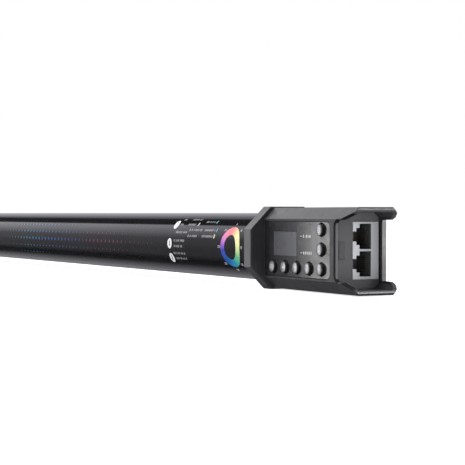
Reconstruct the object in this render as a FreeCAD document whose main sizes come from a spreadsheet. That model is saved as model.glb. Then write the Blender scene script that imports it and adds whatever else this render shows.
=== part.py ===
"""Battery-powered RGB light tube: a round two-foot body between two octagonal collars,
a control head with display, keys and two data sockets at +X, and a plain end cap at -X.

Millimetres. The origin is on the tube's axis, midway along the overall length. +X runs towards
the control head, the control panel faces -Y, the lit side faces +Y, and +Z is up.
"""
import FreeCAD, Part
import os
import re

import Sketcher
from FreeCAD import Placement, Rotation, Vector

# ---------------------------------------------------------------- driving dimensions

SIZES = {
    # whole light
    "overall_length": 736.0,
    "tube_diameter": 38.1,
    "film_thickness": 0.3,
    "spine_wall": 1.7,
    "shelf_low": 2.5,
    "shelf_high": 4.5,
    "diffuser_wall": 1.5,
    # collars that hold the two ends of the tube
    "collar_depth": 48.0,
    "collar_height": 45.2,
    "collar_corner": 12.2,
    "collar_rear_corner": 14.4,
    "collar_length": 8.2,
    "collar_web": 2.4,
    "collar_edge_radius": 1.2,
    "collar_rim_radius": 0.5,
    "tube_clearance": 0.1,
    "seal_thickness": 0.6,
    # control head
    "head_depth": 31.0,
    "head_height": 44.0,
    "head_corner": 6.0,
    "rear_corner": 4.6,
    "corner_step": 1.7,
    "head_wall": 2.4,
    "head_edge_radius": 0.8,
    "web_way_low": -5.0,
    "web_way_high": 4.0,
    "web_way_half": 9.0,
    "head_length": 74.0,
    "horn_length": 14.0,
    "notch_half": 15.6,
    "notch_radius": 3.5,
    "horn_taper": 7.5,
    "horn_taper_rise": 3.4,
    "horn_tip_radius": 3.0,
    "rim_radius": 0.5,
    # face plate and display
    "plate_length": 69.2,
    "plate_height": 29.2,
    "plate_corner": 3.0,
    "plate_thickness": 1.0,
    "plate_recess": 1.2,
    "plate_gap": 0.3,
    "window_start": 10.5,
    "window_length": 25.0,
    "window_height": 13.1,
    "window_middle": 2.8,
    # keys
    "key_first": 10.3,
    "key_pitch": 12.75,
    "key_row": -9.7,
    "key_rise": 10.1,
    "key_diameter": 6.2,
    "key_hole": 7.3,
    "key_stand": 1.5,
    "key_flange": 7.6,
    # boards in the head
    "board_front": -7.6,
    "board_thickness": 1.6,
    "board_length": 64.0,
    "board_height": 28.0,
    # data sockets and service port
    "port_setback": 3.0,
    "port_plate_gap": 0.15,
    "port_plate_thickness": 2.0,
    "jack_low": -2.6,
    "jack_width": 15.0,
    "jack_height": 29.2,
    "jack_depth": 21.0,
    "jack_proud": 0.5,
    "bezel_thickness": 0.8,
    "jack_pitch": 13.97,
    "bay_width": 12.9,
    "bay_height": 7.2,
    "bay_low": 1.1,
    "bay_depth": 14.0,
    "service_width": 8.8,
    "service_height": 3.2,
    "service_recess": 1.3,
    "service_plug_cap": 1.4,
    # rear cover
    "cover_start": 5.0,
    "cover_length": 44.0,
    "cover_height": 28.0,
    "cover_opening_inset": 3.0,
    # far end
    "cap_length": 31.6,
    "cap_end_radius": 1.5,
    "strap_start": 14.0,
    "strap_width": 10.0,
    "strap_height": 18.0,
    "strap_radius": 4.0,
    "insert_radius": 4.5,
    "insert_bore": 2.6,
    "insert_length": 10.0,
    # screws: long ones run into the spine, small ones into posts in the head
    "screw_radius": 1.2,
    "screw_way": 1.6,
    "screw_length": 20.0,
    "screw_head_radius": 2.75,
    "screw_head_length": 2.2,
    "screw_well": 3.1,
    "small_screw_radius": 0.8,
    "small_head_radius": 1.7,
    "post_radius": 1.9,
    "post_bore": 0.85,
    "post_bore_depth": 4.5,
    "boss_radius": 2.8,
    "boss_bore": 1.25,
    "boss_across": 0.2,
    "boss_up": 14.2,
    # battery and lamp
    "cell_radius": 9.1,
    "cell_length": 65.2,
    "cell_gap": 0.4,
    "cell_across": -7.2,
    "lamp_width": 24.0,
    "lamp_thickness": 1.6,
    "chip_size": 5.0,
    "chip_height": 1.4,
    "chip_pitch": 12.0,
    "chip_row": 5.0,
    "lead_radius": 0.8,
}

doc = FreeCAD.newDocument("light_tube")
sheet = doc.addObject("Spreadsheet::Sheet", "Sizes")
for row, (alias, size) in enumerate(SIZES.items(), start=1):
    sheet.set(f"A{row}", alias)
    sheet.set(f"B{row}", str(size))
    sheet.setAlias(f"B{row}", alias)
doc.recompute()

# Places along the axis, written from the sizes.
END_X = "(overall_length/2)"
WALL_X = "(overall_length/2 - horn_length)"
HEAD_X = "(overall_length/2 - horn_length - head_length)"
COLLAR_X = "(overall_length/2 - horn_length - head_length - collar_length)"
PLATE_X = "(overall_length/2 - horn_length - port_setback)"
FAR_COLLAR_X = "(cap_length - overall_length/2)"
FAR_TUBE_X = "(cap_length - overall_length/2 + collar_length)"
TUBE_START = "(cap_length - overall_length/2 + collar_web + seal_thickness)"
TUBE_LENGTH = "(overall_length - horn_length - head_length - cap_length - 2*collar_web - 2*seal_thickness)"
TUBE_R = "(tube_diameter/2)"
SPINE_R = "(tube_diameter/2 - film_thickness)"
BORE_R = "(tube_diameter/2 - film_thickness - spine_wall)"
FRONT_Y = "(-head_depth/2)"
INNER_Y = "(-head_depth/2 + head_wall)"
PANEL_Y = "(-head_depth/2 + plate_recess - plate_thickness)"
BOARD_BACK = "(board_front + board_thickness)"

# Each key: its column along the bottom row, and its row in the right-hand column.
KEYS = {
    "menu": (0, 0),
    "left": (1, 0),
    "down": (2, 0),
    "up": (3, 0),
    "right": (4, 0),
    "lock": (4, 1),
    "power": (4, 2),
}

parts = {}


# ---------------------------------------------------------------- small helpers

def sized(text):
    """The expression text with each alias made to point at the sheet."""
    return re.sub(r"[a-z]\w*", lambda word: f"Sizes.{word[0]}" if word[0] in SIZES else word[0], str(text))


def value(text):
    """What an expression in the sheet's aliases comes to, in millimetres."""
    plain = re.sub(r"[a-z]\w*", lambda word: str(sheet.get(word[0])), str(text))
    return FreeCAD.Units.Quantity(plain).Value


def bind(obj, **sizes):
    """Binds properties of obj to expressions; a double underscore stands for a dot."""
    for name, text in sizes.items():
        obj.setExpression(name.replace("__", "."), sized(text))
    return obj


def keep(label, obj):
    """Names obj as a finished sub-part."""
    obj.Label = label
    parts[label] = obj
    return obj


def box(x, y, z, length, width, height):
    """A Part::Box with its low corner at x, y, z."""
    obj = doc.addObject("Part::Box", "Box")
    bind(obj, Length=length, Width=width, Height=height)
    return bind(obj, Placement__Base__x=x, Placement__Base__y=y, Placement__Base__z=z)


AXIS_TURNS = {
    "x": Rotation(Vector(0, 1, 0), 90),
    "y": Rotation(Vector(1, 0, 0), -90),
    "z": Rotation(),
}


def rod(axis, x, y, z, radius, length):
    """A Part::Cylinder that starts at x, y, z and runs along +axis."""
    obj = doc.addObject("Part::Cylinder", "Rod")
    obj.Placement = Placement(Vector(), AXIS_TURNS[axis])
    bind(obj, Radius=radius, Height=length)
    return bind(obj, Placement__Base__x=x, Placement__Base__y=y, Placement__Base__z=z)


def cut(base, *tools):
    """base less all the tools."""
    obj = doc.addObject("Part::Cut", "Cut")
    obj.Base = base
    obj.Tool = tools[0] if len(tools) == 1 else fuse(*tools)
    return obj


def fuse(*shapes):
    obj = doc.addObject("Part::MultiFuse", "Fuse")
    obj.Shapes = list(shapes)
    obj.Refine = True
    return obj


def common(*shapes):
    obj = doc.addObject("Part::MultiCommon", "Common")
    obj.Shapes = list(shapes)
    return obj


def group(*shapes):
    """Separate solids that share one node."""
    obj = doc.addObject("Part::Compound", "Group")
    obj.Links = list(shapes)
    return obj


class Solid:
    """A PartDesign body built from sketches on its own origin planes.

    start and length run along +X for plane YZ, +Y for plane XZ and +Z for plane XY.
    """

    def __init__(self, label):
        self.body = doc.addObject("PartDesign::Body", label)
        keep(label, self.body)

    def sketch(self, plane, start):
        sketch = self.body.newObject("Sketcher::SketchObject", "Sketch")
        origin = [f for f in self.body.Origin.OriginFeatures if f.Role == f"{plane}_Plane"][0]
        sketch.AttachmentSupport = (origin, [""])
        sketch.MapMode = "FlatFace"
        offset = f"-({start})" if plane == "XZ" else start
        return bind(sketch, AttachmentOffset__Base__z=offset)

    def place_point(self, sketch, line, point, u, v):
        """Fixes one point of a sketch at u, v from the origin, bound to the sheet."""
        for kind, text, axis in (("DistanceX", u, -2), ("DistanceY", v, -1)):
            if abs(value(text)) < 1e-9:
                sketch.addConstraint(Sketcher.Constraint("PointOnObject", line, point, axis))
                continue
            index = sketch.addConstraint(Sketcher.Constraint(kind, line, point, value(text)))
            sketch.setExpression(f"Constraints[{index}]", sized(text))

    def polygon(self, sketch, points):
        first = sketch.GeometryCount
        corners = [Vector(value(u), value(v), 0) for u, v in points]
        for index, corner in enumerate(corners):
            sketch.addGeometry(Part.LineSegment(corner, corners[(index + 1) % len(corners)]))
        for index, (u, v) in enumerate(points):
            following = first + (index + 1) % len(corners)
            sketch.addConstraint(Sketcher.Constraint("Coincident", first + index, 2, following, 1))
            self.place_point(sketch, first + index, 1, u, v)

    def circles(self, sketch, centres, radius):
        for u, v in centres:
            middle = Vector(value(u), value(v), 0)
            line = sketch.addGeometry(Part.Circle(middle, Vector(0, 0, 1), value(radius)))
            self.place_point(sketch, line, 3, u, v)
            index = sketch.addConstraint(Sketcher.Constraint("Radius", line, value(radius)))
            sketch.setExpression(f"Constraints[{index}]", sized(radius))

    def extrude(self, kind, plane, start, length, draw):
        sketch = self.sketch(plane, start)
        draw(sketch)
        doc.recompute()
        feature = self.body.newObject(f"PartDesign::{kind}", kind)
        feature.Profile = sketch
        feature.Reversed = (plane == "XZ") if kind == "Pad" else (plane != "XZ")
        bind(feature, Length=length)
        doc.recompute()
        return feature

    def add(self, plane, points, start, length):
        return self.extrude("Pad", plane, start, length, lambda sketch: self.polygon(sketch, points))

    def add_rods(self, plane, centres, radius, start, length):
        return self.extrude("Pad", plane, start, length, lambda sketch: self.circles(sketch, centres, radius))

    def remove(self, plane, points, start, length):
        return self.removed(plane, start, length, lambda sketch: self.polygon(sketch, points))

    def drill(self, plane, centres, radius, start, length):
        return self.removed(plane, start, length, lambda sketch: self.circles(sketch, centres, radius))

    def removed(self, plane, start, length, draw):
        before = self.body.Shape.Volume
        feature = self.extrude("Pocket", plane, start, length, draw)
        if self.body.Shape.Volume > before - 1e-6:
            raise ValueError(f"a pocket in {self.body.Label} cuts nothing")
        return feature

    def round_edges(self, radius, wanted):
        """Fillets every edge for which wanted(edge) is true."""
        base = self.body.Tip
        names = [f"Edge{i}" for i, edge in enumerate(base.Shape.Edges, start=1) if wanted(edge)]
        fillet = self.body.newObject("PartDesign::Fillet", "Fillet")
        fillet.Base = (base, names)
        bind(fillet, Radius=radius)
        doc.recompute()
        if not names or fillet.Shape.isNull() or not fillet.Shape.isValid():
            raise ValueError(f"a fillet of {radius} on {self.body.Label} failed")
        return fillet


def along(edge, axis):
    """True for a straight edge parallel to the axis vector."""
    if len(edge.Vertexes) != 2:
        return False
    reach = edge.Vertexes[1].Point - edge.Vertexes[0].Point
    return abs(reach.Length - edge.Length) < 1e-6 and reach.cross(axis).Length < 1e-6


def lies_at(edge, axis, place):
    """True if the whole edge lies in the plane across axis (0, 1 or 2) at place."""
    return all(abs(vertex.Point[axis] - place) < 1e-4 for vertex in edge.Vertexes)


X_AXIS, Y_AXIS, Z_AXIS = Vector(1, 0, 0), Vector(0, 1, 0), Vector(0, 0, 1)


def rectangle(u_low, u_high, v_low, v_high):
    return [(u_low, v_low), (u_high, v_low), (u_high, v_high), (u_low, v_high)]


def eight_sided(half_width, half_height, front_corner, rear_corner):
    """A rectangle about the axis with its four corners cut at 45 degrees."""
    w, v, f, r = half_width, half_height, front_corner, rear_corner
    return [
        (f"{w} - ({r})", v), (f"-({w}) + {f}", v),
        (f"-({w})", f"{v} - ({f})"), (f"-({w})", f"-({v}) + {f}"),
        (f"-({w}) + {f}", f"-({v})"), (f"{w} - ({r})", f"-({v})"),
        (w, f"-({v}) + {r}"), (w, f"{v} - ({r})"),
    ]


def head_section(inset):
    """The head's outline, moved in by inset on its four sides."""
    step = f" - corner_step*{inset}/head_wall"
    half_depth, half_height = f"head_depth/2 - {inset}", f"head_height/2 - {inset}"
    return eight_sided(half_depth, half_height, f"head_corner{step}", f"rear_corner{step}")


HEAD_OUTSIDE = head_section("0")
HEAD_INSIDE = head_section("head_wall")
COLLAR_OUTSIDE = eight_sided("collar_depth/2", "collar_height/2", "collar_corner", "collar_rear_corner")
BOSSES = [("boss_across", "boss_up"), ("boss_across", "-boss_up")]


def key_place(name):
    """Centre of a key on the panel, as x and z expressions."""
    column, step = KEYS[name]
    return f"{HEAD_X} + key_first + {column}*key_pitch", f"key_row + {step}*key_rise"


KEY_PLACES = [key_place(name) for name in KEYS]


# ---------------------------------------------------------------- tube

def in_front_of(limit):
    """A block that holds everything on the panel side of y = limit."""
    reach = "tube_diameter"
    return box(TUBE_START, f"-{reach}", f"-{reach}", TUBE_LENGTH, f"{reach} + {limit}", f"2*{reach}")


def tube_rod(radius, across="0", up="0"):
    return rod("x", TUBE_START, across, up, radius, TUBE_LENGTH)


def make_tube():
    """Spine, film and diffuser: three lengths that slide together into one round tube."""
    ring = cut(tube_rod(SPINE_R), tube_rod(BORE_R))
    shelf = box(TUBE_START, "shelf_low", "-tube_diameter/2",
                TUBE_LENGTH, "shelf_high - shelf_low", "tube_diameter")
    body = fuse(
        common(ring, in_front_of("shelf_high")),
        common(shelf, tube_rod(SPINE_R)),
        *[common(tube_rod("boss_radius", u, v), tube_rod(SPINE_R)) for u, v in BOSSES],
    )
    groove = [box(TUBE_START, "shelf_high - 1.1", low, TUBE_LENGTH, "2", "1.6") for low in ("15.5", "-17.1")]
    screw_ways = [tube_rod("boss_bore", u, v) for u, v in BOSSES]
    keep("tube_spine", cut(body, *groove, *screw_ways))

    film = cut(tube_rod(TUBE_R), tube_rod(SPINE_R))
    keep("graphics_film", common(film, in_front_of("shelf_high")))

    shell = cut(tube_rod(TUBE_R), tube_rod(f"{TUBE_R} - diffuser_wall"))
    tongues = [
        common(box(TUBE_START, "shelf_high - 1", low, TUBE_LENGTH, "2.7", "1.2"), tube_rod(f"{TUBE_R} - 0.5"))
        for low in ("15.7", "-16.9")
    ]
    keep("diffuser", fuse(cut(shell, in_front_of("shelf_high + 0.1")), *tongues))


def make_lamp():
    """Lamp board on the spine's shelf, with its chips in two rows."""
    start, length = f"({FAR_TUBE_X} + 2)", f"({COLLAR_X} - ({FAR_TUBE_X}) - 4)"
    keep("led_board", box(start, "shelf_high", "-lamp_width/2", length, "lamp_thickness", "lamp_width"))
    per_row = int(value(length) / value("chip_pitch"))
    first = f"{start} + ({length} - {per_row - 1}*chip_pitch - chip_size)/2"
    chips = [
        box(f"{first} + {step}*chip_pitch", "shelf_high + lamp_thickness", f"{side}*chip_row - chip_size/2",
            "chip_size", "chip_height", "chip_size")
        for side in (1, -1) for step in range(per_row)
    ]
    keep("led_chips", group(*chips))


def make_battery():
    """Four cells in a row in a sleeve, held by two cradles, with links and a protection board."""
    step = "(cell_length + cell_gap)"
    start = f"(-2*{step} + cell_gap/2)"
    pack_length = "(4*cell_length + 3*cell_gap)"
    cells = [
        rod("x", f"{start} + {i}*{step}", "cell_across", "0", "cell_radius", "cell_length")
        for i in range(4)
    ]
    keep("battery_cells", group(*cells))
    links = [
        rod("x", f"{start} + {i}*{step} - cell_gap", "cell_across", "0", "4", "cell_gap")
        for i in range(5)
    ]
    keep("cell_links", group(*links))
    sleeve_radius = "(cell_radius + 0.2)"
    keep("battery_sleeve", cut(
        rod("x", start, "cell_across", "0", sleeve_radius, pack_length),
        rod("x", start, "cell_across", "0", "(cell_radius + 0.05)", pack_length),
    ))
    cradles = []
    for place in (f"{start} + 14", f"{start} + {pack_length} - 20"):
        plug = common(
            rod("x", place, "0", "0", f"{BORE_R} - 0.2", "6"),
            box(place, "-tube_diameter", "-11", "6", "tube_diameter + shelf_low - 0.2", "22"),
        )
        cradles.append(cut(plug, rod("x", place, "cell_across", "0", f"{sleeve_radius} + 0.05", "6")))
    keep("battery_cradles", group(*cradles))
    keep("battery_board", box(f"{start} + {pack_length} + 1.5", "cell_across - 6", "-7", "1.2", "12", "14"))


def make_driver():
    """Lamp driver board between the battery and the head, with its tall components."""
    start, length = f"({COLLAR_X} - 108)", "96"
    keep("driver_board", box(start, "-4", "-11", length, "1.6", "22"))
    coils = [rod("y", f"{start} + {place}", "-10", "0", "5.5", "6") for place in (16, 36)]
    cans = [
        rod("y", f"{start} + {place}", "-12", side, "3.2", "8")
        for place in (54, 64) for side in ("-4.2", "4.2")
    ]
    chips = [box(f"{start} + {place}", "-5.6", "-3.5", "7", "1.6", "7") for place in (72, 80)]
    keep("driver_components", group(*coils, *cans, *chips))
    plug_in = [box(f"{start} + {length} - 8", "-10", low, "7", "6", "5") for low in ("-8.4", "-2.5", "3.4")]
    keep("driver_sockets", group(*plug_in))


def wire(points, radius):
    """A round wire with smooth bends through the points."""
    path = Part.BSplineCurve()
    path.interpolate([Vector(*point) for point in points])
    start, ahead = path.value(path.FirstParameter), path.tangent(path.FirstParameter)[0]
    section = Part.Wire(Part.Circle(start, ahead, radius).toShape())
    return Part.Wire(path.toShape()).makePipeShell([section], True, True)


def make_wires():
    """Battery leads and head leads, each a separate round wire."""
    driver_start, driver_end = value(f"{COLLAR_X} - 108"), value(f"{COLLAR_X} - 12")
    pack_end = value("2*cell_length + 1.5*cell_gap") + 2.7
    head_inside = value(f"{HEAD_X} + head_wall")
    leads = {"battery_leads": [], "head_leads": []}
    for side in (-5.0, 0.0, 5.0):
        leads["battery_leads"].append([
            (pack_end + 0.1, -8, side), (pack_end + 3, -8, side),
            (driver_start - 5, -3.2, side), (driver_start - 0.1, -3.2, side)])
        leads["head_leads"].append([
            (driver_end - 0.9, -7, side * 1.18), (driver_end + 1, -7, side * 1.18),
            (head_inside - 4, -1, side), (head_inside + 9, 1, side)])
    for label, routes in leads.items():
        feature = doc.addObject("Part::Feature", label)
        feature.Shape = Part.makeCompound([wire(route, value("lead_radius")) for route in routes])
        feature.Placement = Placement()
        keep(label, feature)


# ---------------------------------------------------------------- collars and far end

def make_collar(label, start, web_start, socket_start):
    """An eight-sided ring: a socket for the tube on one side, a web with ways through on the other."""
    solid = Solid(label)
    solid.add("YZ", COLLAR_OUTSIDE, start, "collar_length")
    solid.round_edges("collar_edge_radius", lambda edge: along(edge, X_AXIS))
    near, far = value(start), value(f"{start} + collar_length")
    solid.round_edges("collar_rim_radius", lambda edge: lies_at(edge, 0, near) or lies_at(edge, 0, far))
    solid.drill("YZ", [("0", "0")], f"{TUBE_R} + tube_clearance", socket_start, "collar_length - collar_web")
    way = rectangle("-11", "web_way_high", "-web_way_half", "web_way_half")
    solid.remove("YZ", way, web_start, "collar_web")
    solid.drill("YZ", BOSSES, "screw_way", web_start, "collar_web")


def make_seals():
    """Flat rings between the tube's ends and the collar webs."""
    rings = []
    for place in (f"{FAR_COLLAR_X} + collar_web", f"{HEAD_X} - collar_web - seal_thickness"):
        outside = rod("x", place, "0", "0", f"{TUBE_R} - 0.1", "seal_thickness")
        inside = rod("x", place, "0", "0", f"{BORE_R} + 0.2", "seal_thickness")
        rings.append(cut(outside, inside))
    keep("tube_seals", group(*rings))


def long_screws(seat, direction):
    """Two screws into the spine's bosses; each shank runs from x = seat in direction."""
    screws = []
    for y, z in BOSSES:
        shank_low = seat if direction > 0 else f"{seat} - screw_length"
        head_low = f"{seat} - screw_head_length" if direction > 0 else seat
        slot_low = head_low if direction > 0 else f"{seat} + screw_head_length - 0.8"
        slot = box(slot_low, f"{y} - screw_head_radius", f"{z} - 0.35", "0.8", "2*screw_head_radius", "0.7")
        shank = rod("x", shank_low, y, z, "screw_radius", "screw_length")
        head = rod("x", head_low, y, z, "screw_head_radius", "screw_head_length")
        screws.append(cut(fuse(shank, head), slot))
    return group(*screws)


def make_end_cap():
    """Far end: a block with a brass tripod thread in its face and a slot for a strap or safety wire."""
    low = "(-overall_length/2)"
    solid = Solid("end_cap")
    solid.add("YZ", HEAD_OUTSIDE, low, "cap_length")
    solid.round_edges("head_edge_radius", lambda edge: along(edge, X_AXIS))
    solid.round_edges("cap_end_radius", lambda edge: lies_at(edge, 0, value(low)))
    strap_low = f"{low} + strap_start"
    strap = rectangle(strap_low, f"{strap_low} + strap_width", "-strap_height/2", "strap_height/2")
    solid.remove("XZ", strap, "-head_depth", "2*head_depth")
    solid.round_edges("strap_radius", lambda edge: along(edge, Y_AXIS))
    solid.drill("YZ", [("0", "0")], "insert_radius", low, "insert_length")
    solid.drill("YZ", BOSSES, "screw_well", low, "cap_length - head_wall")
    solid.drill("YZ", BOSSES, "screw_way", f"{FAR_COLLAR_X} - head_wall", "head_wall")

    keep("thread_insert", cut(
        rod("x", low, "0", "0", "insert_radius", "insert_length"),
        rod("x", low, "0", "0", "insert_bore", "insert_length"),
    ))
    keep("cap_screws", long_screws(f"{FAR_COLLAR_X} - head_wall", 1))
    plugs = [rod("x", f"{low} + 0.4", y, z, "screw_well", "4") for y, z in BOSSES]
    keep("cap_hole_plugs", group(*plugs))


# ---------------------------------------------------------------- control head

def make_head_shell():
    """The head's moulded shell: chamfered sleeve, web, panel and rear recesses, and two guard horns."""
    solid = Solid("head_shell")
    solid.add("YZ", HEAD_OUTSIDE, HEAD_X, "head_length + horn_length")
    solid.round_edges("head_edge_radius", lambda edge: along(edge, X_AXIS))
    tip_start, tip_half = f"{END_X} - horn_taper", "(notch_half + horn_taper_rise)"
    notch = [
        (WALL_X, "-notch_half"), (tip_start, "-notch_half"), (END_X, f"-{tip_half}"),
        (f"{END_X} + 1", f"-{tip_half}"), (f"{END_X} + 1", tip_half),
        (END_X, tip_half), (tip_start, "notch_half"), (WALL_X, "notch_half"),
    ]
    solid.remove("XZ", notch, "-head_depth", "2*head_depth")
    wall, end = value(WALL_X), value(END_X)
    solid.round_edges("notch_radius", lambda edge: along(edge, Y_AXIS) and lies_at(edge, 0, wall))
    taper, tip = value(tip_start), value(tip_half)
    solid.round_edges("horn_tip_radius", lambda edge: along(edge, Y_AXIS) and (
        lies_at(edge, 0, taper) or lies_at(edge, 0, end) and abs(abs(edge.Vertexes[0].Z) - tip) < 0.01))
    # only the front wall keeps the round corners of the notch
    corners = rectangle(WALL_X, f"{WALL_X} + notch_radius", "-notch_half", "notch_half")
    solid.remove("XZ", corners, "0", "head_depth")
    solid.remove("YZ", HEAD_INSIDE, f"{HEAD_X} + head_wall", "head_length + horn_length")
    solid.round_edges("rim_radius", lambda edge: lies_at(edge, 0, end))
    # panel side: recess for the face plate, then the ways through for the display and keys
    recess_end = f"{HEAD_X} + 0.5 + plate_length + plate_gap"
    plate_half = "(plate_height/2 + plate_gap)"
    plate = rectangle(f"{HEAD_X} + 0.4", recess_end, f"-{plate_half}", plate_half)
    solid.remove("XZ", plate, FRONT_Y, "plate_recess")
    solid.round_edges("plate_corner", lambda edge: along(edge, Y_AXIS) and lies_at(edge, 0, value(recess_end))
                      and abs(edge.Length - value("plate_recess")) < 1e-3)
    window = rectangle(
        f"{HEAD_X} + window_start - 1", f"{HEAD_X} + window_start + window_length + 1",
        "window_middle - window_height/2 - 0.8", "window_middle + window_height/2 + 0.8")
    solid.remove("XZ", window, FRONT_Y, "head_wall")
    solid.drill("XZ", KEY_PLACES, "key_diameter/2 + 0.2", FRONT_Y, "head_wall")
    # posts for the main board, with pilot holes
    solid.add_rods("XZ", BOARD_POSTS, "post_radius", INNER_Y, f"board_front - {INNER_Y}")
    solid.drill("XZ", BOARD_POSTS, "post_bore", "board_front - post_bore_depth", "post_bore_depth")
    # rear side: rebate, opening and posts for the rear cover
    solid.remove("XZ", cover_outline("0.1"), "head_depth/2 - plate_recess", "plate_recess")
    solid.remove("XZ", cover_outline("-cover_opening_inset"), "head_depth/2 - head_wall", "head_wall")
    solid.add_rods("XZ", COVER_POSTS, "post_radius", "head_depth/2 - head_wall - 4", "4")
    bore_low = "head_depth/2 - plate_recess - post_bore_depth"
    solid.drill("XZ", COVER_POSTS, "post_bore", bore_low, "post_bore_depth")
    # web against the collar
    way = rectangle("web_way_low", "web_way_high", "-web_way_half", "web_way_half")
    solid.remove("YZ", way, HEAD_X, "head_wall")
    solid.drill("YZ", BOSSES, "screw_way", HEAD_X, "head_wall")


def cover_outline(room):
    """Rectangle of the rear cover, larger all round by room."""
    start, half = f"{HEAD_X} + cover_start", f"cover_height/2 + {room}"
    return rectangle(f"{start} - ({room})", f"{start} + cover_length + {room}", f"-({half})", half)


BOARD_POSTS = [
    (f"{HEAD_X} + 6", "11.6"),
    (f"{HEAD_X} + 54", "11.6"),
    (f"{HEAD_X} + key_first + key_pitch/2", "-11.6"),
    (f"{HEAD_X} + key_first + 3.5*key_pitch", "-11.6"),
]
COVER_POSTS = [
    (f"{HEAD_X} + cover_start + {place}", up)
    for place in ("2.4", "cover_length - 2.4") for up in ("-cover_height/2 + 2", "cover_height/2 - 2")
]


def make_face_plate():
    solid = Solid("face_plate")
    start = f"{HEAD_X} + 0.5"
    outline = rectangle(start, f"{start} + plate_length", "-plate_height/2", "plate_height/2")
    solid.add("XZ", outline, PANEL_Y, "plate_thickness")
    far_side = value(f"{start} + plate_length")
    solid.round_edges("plate_corner", lambda edge: along(edge, Y_AXIS) and lies_at(edge, 0, far_side))
    window = rectangle(
        f"{HEAD_X} + window_start", f"{HEAD_X} + window_start + window_length",
        "window_middle - window_height/2", "window_middle + window_height/2")
    solid.remove("XZ", window, PANEL_Y, "plate_thickness")
    solid.drill("XZ", KEY_PLACES, "key_hole/2", PANEL_Y, "plate_thickness")
    solid.round_edges("0.2", lambda edge: lies_at(edge, 1, value(PANEL_Y)))


def make_display():
    """Lens in the face plate, the display glass behind it, and the frame that holds the glass."""
    left, low = f"({HEAD_X} + window_start)", "(window_middle - window_height/2)"
    keep("display_lens", box(f"{left} + 0.1", PANEL_Y, f"{low} + 0.1",
                             "window_length - 0.2", "plate_thickness", "window_height - 0.2"))
    glass_front = f"({INNER_Y} + 0.4)"
    keep("display_glass", box(f"{left} - 1", glass_front, f"{low} - 1",
                              "window_length + 2", "1.6", "window_height + 2"))
    outer, inner = [
        box(f"{left} - {rim}", glass_front, f"{low} - {rim}",
            f"window_length + 2*{rim}", f"board_front - {glass_front}", f"window_height + 2*{rim}")
        for rim in (1.9, 1.1)
    ]
    keep("display_frame", cut(outer, inner))


def make_keys():
    """Seven keys: a flanged cap through the panel, and the stem of the switch that it presses."""
    tact_front = "(board_front - 3.1)"
    bodies = []
    for name in KEYS:
        x, z = key_place(name)
        solid = Solid(f"key_{name}")
        cap_front, flange_front = f"({PANEL_Y} - key_stand)", f"({INNER_Y} + 0.1)"
        solid.add_rods("XZ", [(x, z)], "key_diameter/2", cap_front, f"{flange_front} - {cap_front}")
        front = value(cap_front)
        solid.round_edges("0.35", lambda edge: lies_at(edge, 1, front))
        solid.add_rods("XZ", [(x, z)], "key_flange/2", flange_front, "0.8")
        pin_front = f"({flange_front} + 0.8)"
        solid.add_rods("XZ", [(x, z)], "1.3", pin_front, f"{tact_front} - 1 - {pin_front}")
        keep(f"stem_{name}", rod("y", x, f"{tact_front} - 1", z, "1.7", "1.5"))
        block = box(f"{x} - 2.25", tact_front, f"{z} - 2.25", "4.5", "3.1", "4.5")
        bodies.append(cut(block, rod("y", x, tact_front, z, "1.8", "1.4")))
    keep("switch_bodies", group(*bodies))


def make_boards():
    """Main board behind the keys, its components, and the screws that hold it to the shell's posts."""
    start = f"({HEAD_X} + head_wall + 1)"
    board = box(start, "board_front", "-board_height/2", "board_length", "board_thickness", "board_height")
    holes = [rod("y", x, "board_front", z, "1.1", "board_thickness") for x, z in BOARD_POSTS]
    keep("main_board", cut(board, *holes))
    screws = []
    for x, z in BOARD_POSTS:
        shank = rod("y", x, "board_front - 4", z, "small_screw_radius", "4 + board_thickness")
        screws.append(fuse(shank, rod("y", x, BOARD_BACK, z, "small_head_radius", "1.1")))
    keep("board_screws", group(*screws))
    keep("radio_module", box(f"{HEAD_X} + 14", BOARD_BACK, "-8", "16", "2.4", "15"))
    controller = box(f"{HEAD_X} + 36", BOARD_BACK, "-4", "9", "1.2", "9")
    buzzer = rod("y", f"{HEAD_X} + 10", BOARD_BACK, "5.2", "3", "2.6")
    filters = [box(f"{HEAD_X} + {place}", BOARD_BACK, "8", "3.2", "1.2", "2.5") for place in (22, 28, 34, 40)]
    keep("board_components", group(controller, buzzer, *filters))


SOCKET_MIDDLES = ("jack_pitch/2 + 0.2", "-jack_pitch/2 + 0.2")


def port_outline(middle, start, length, latch_low):
    """The stepped shape of one data socket's opening: a bay for the plug and two steps for its latch."""
    bay = box(start, "bay_low", f"{middle} - bay_width/2", length, "bay_height", "bay_width")
    shoulder = box(start, "bay_low - 1.9", f"{middle} - 4.3", length, "2", "8.6")
    latch = box(start, latch_low, f"{middle} - 2.55", length, f"bay_low - 1.8 - ({latch_low})", "5.1")
    return fuse(bay, shoulder, latch)


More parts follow.
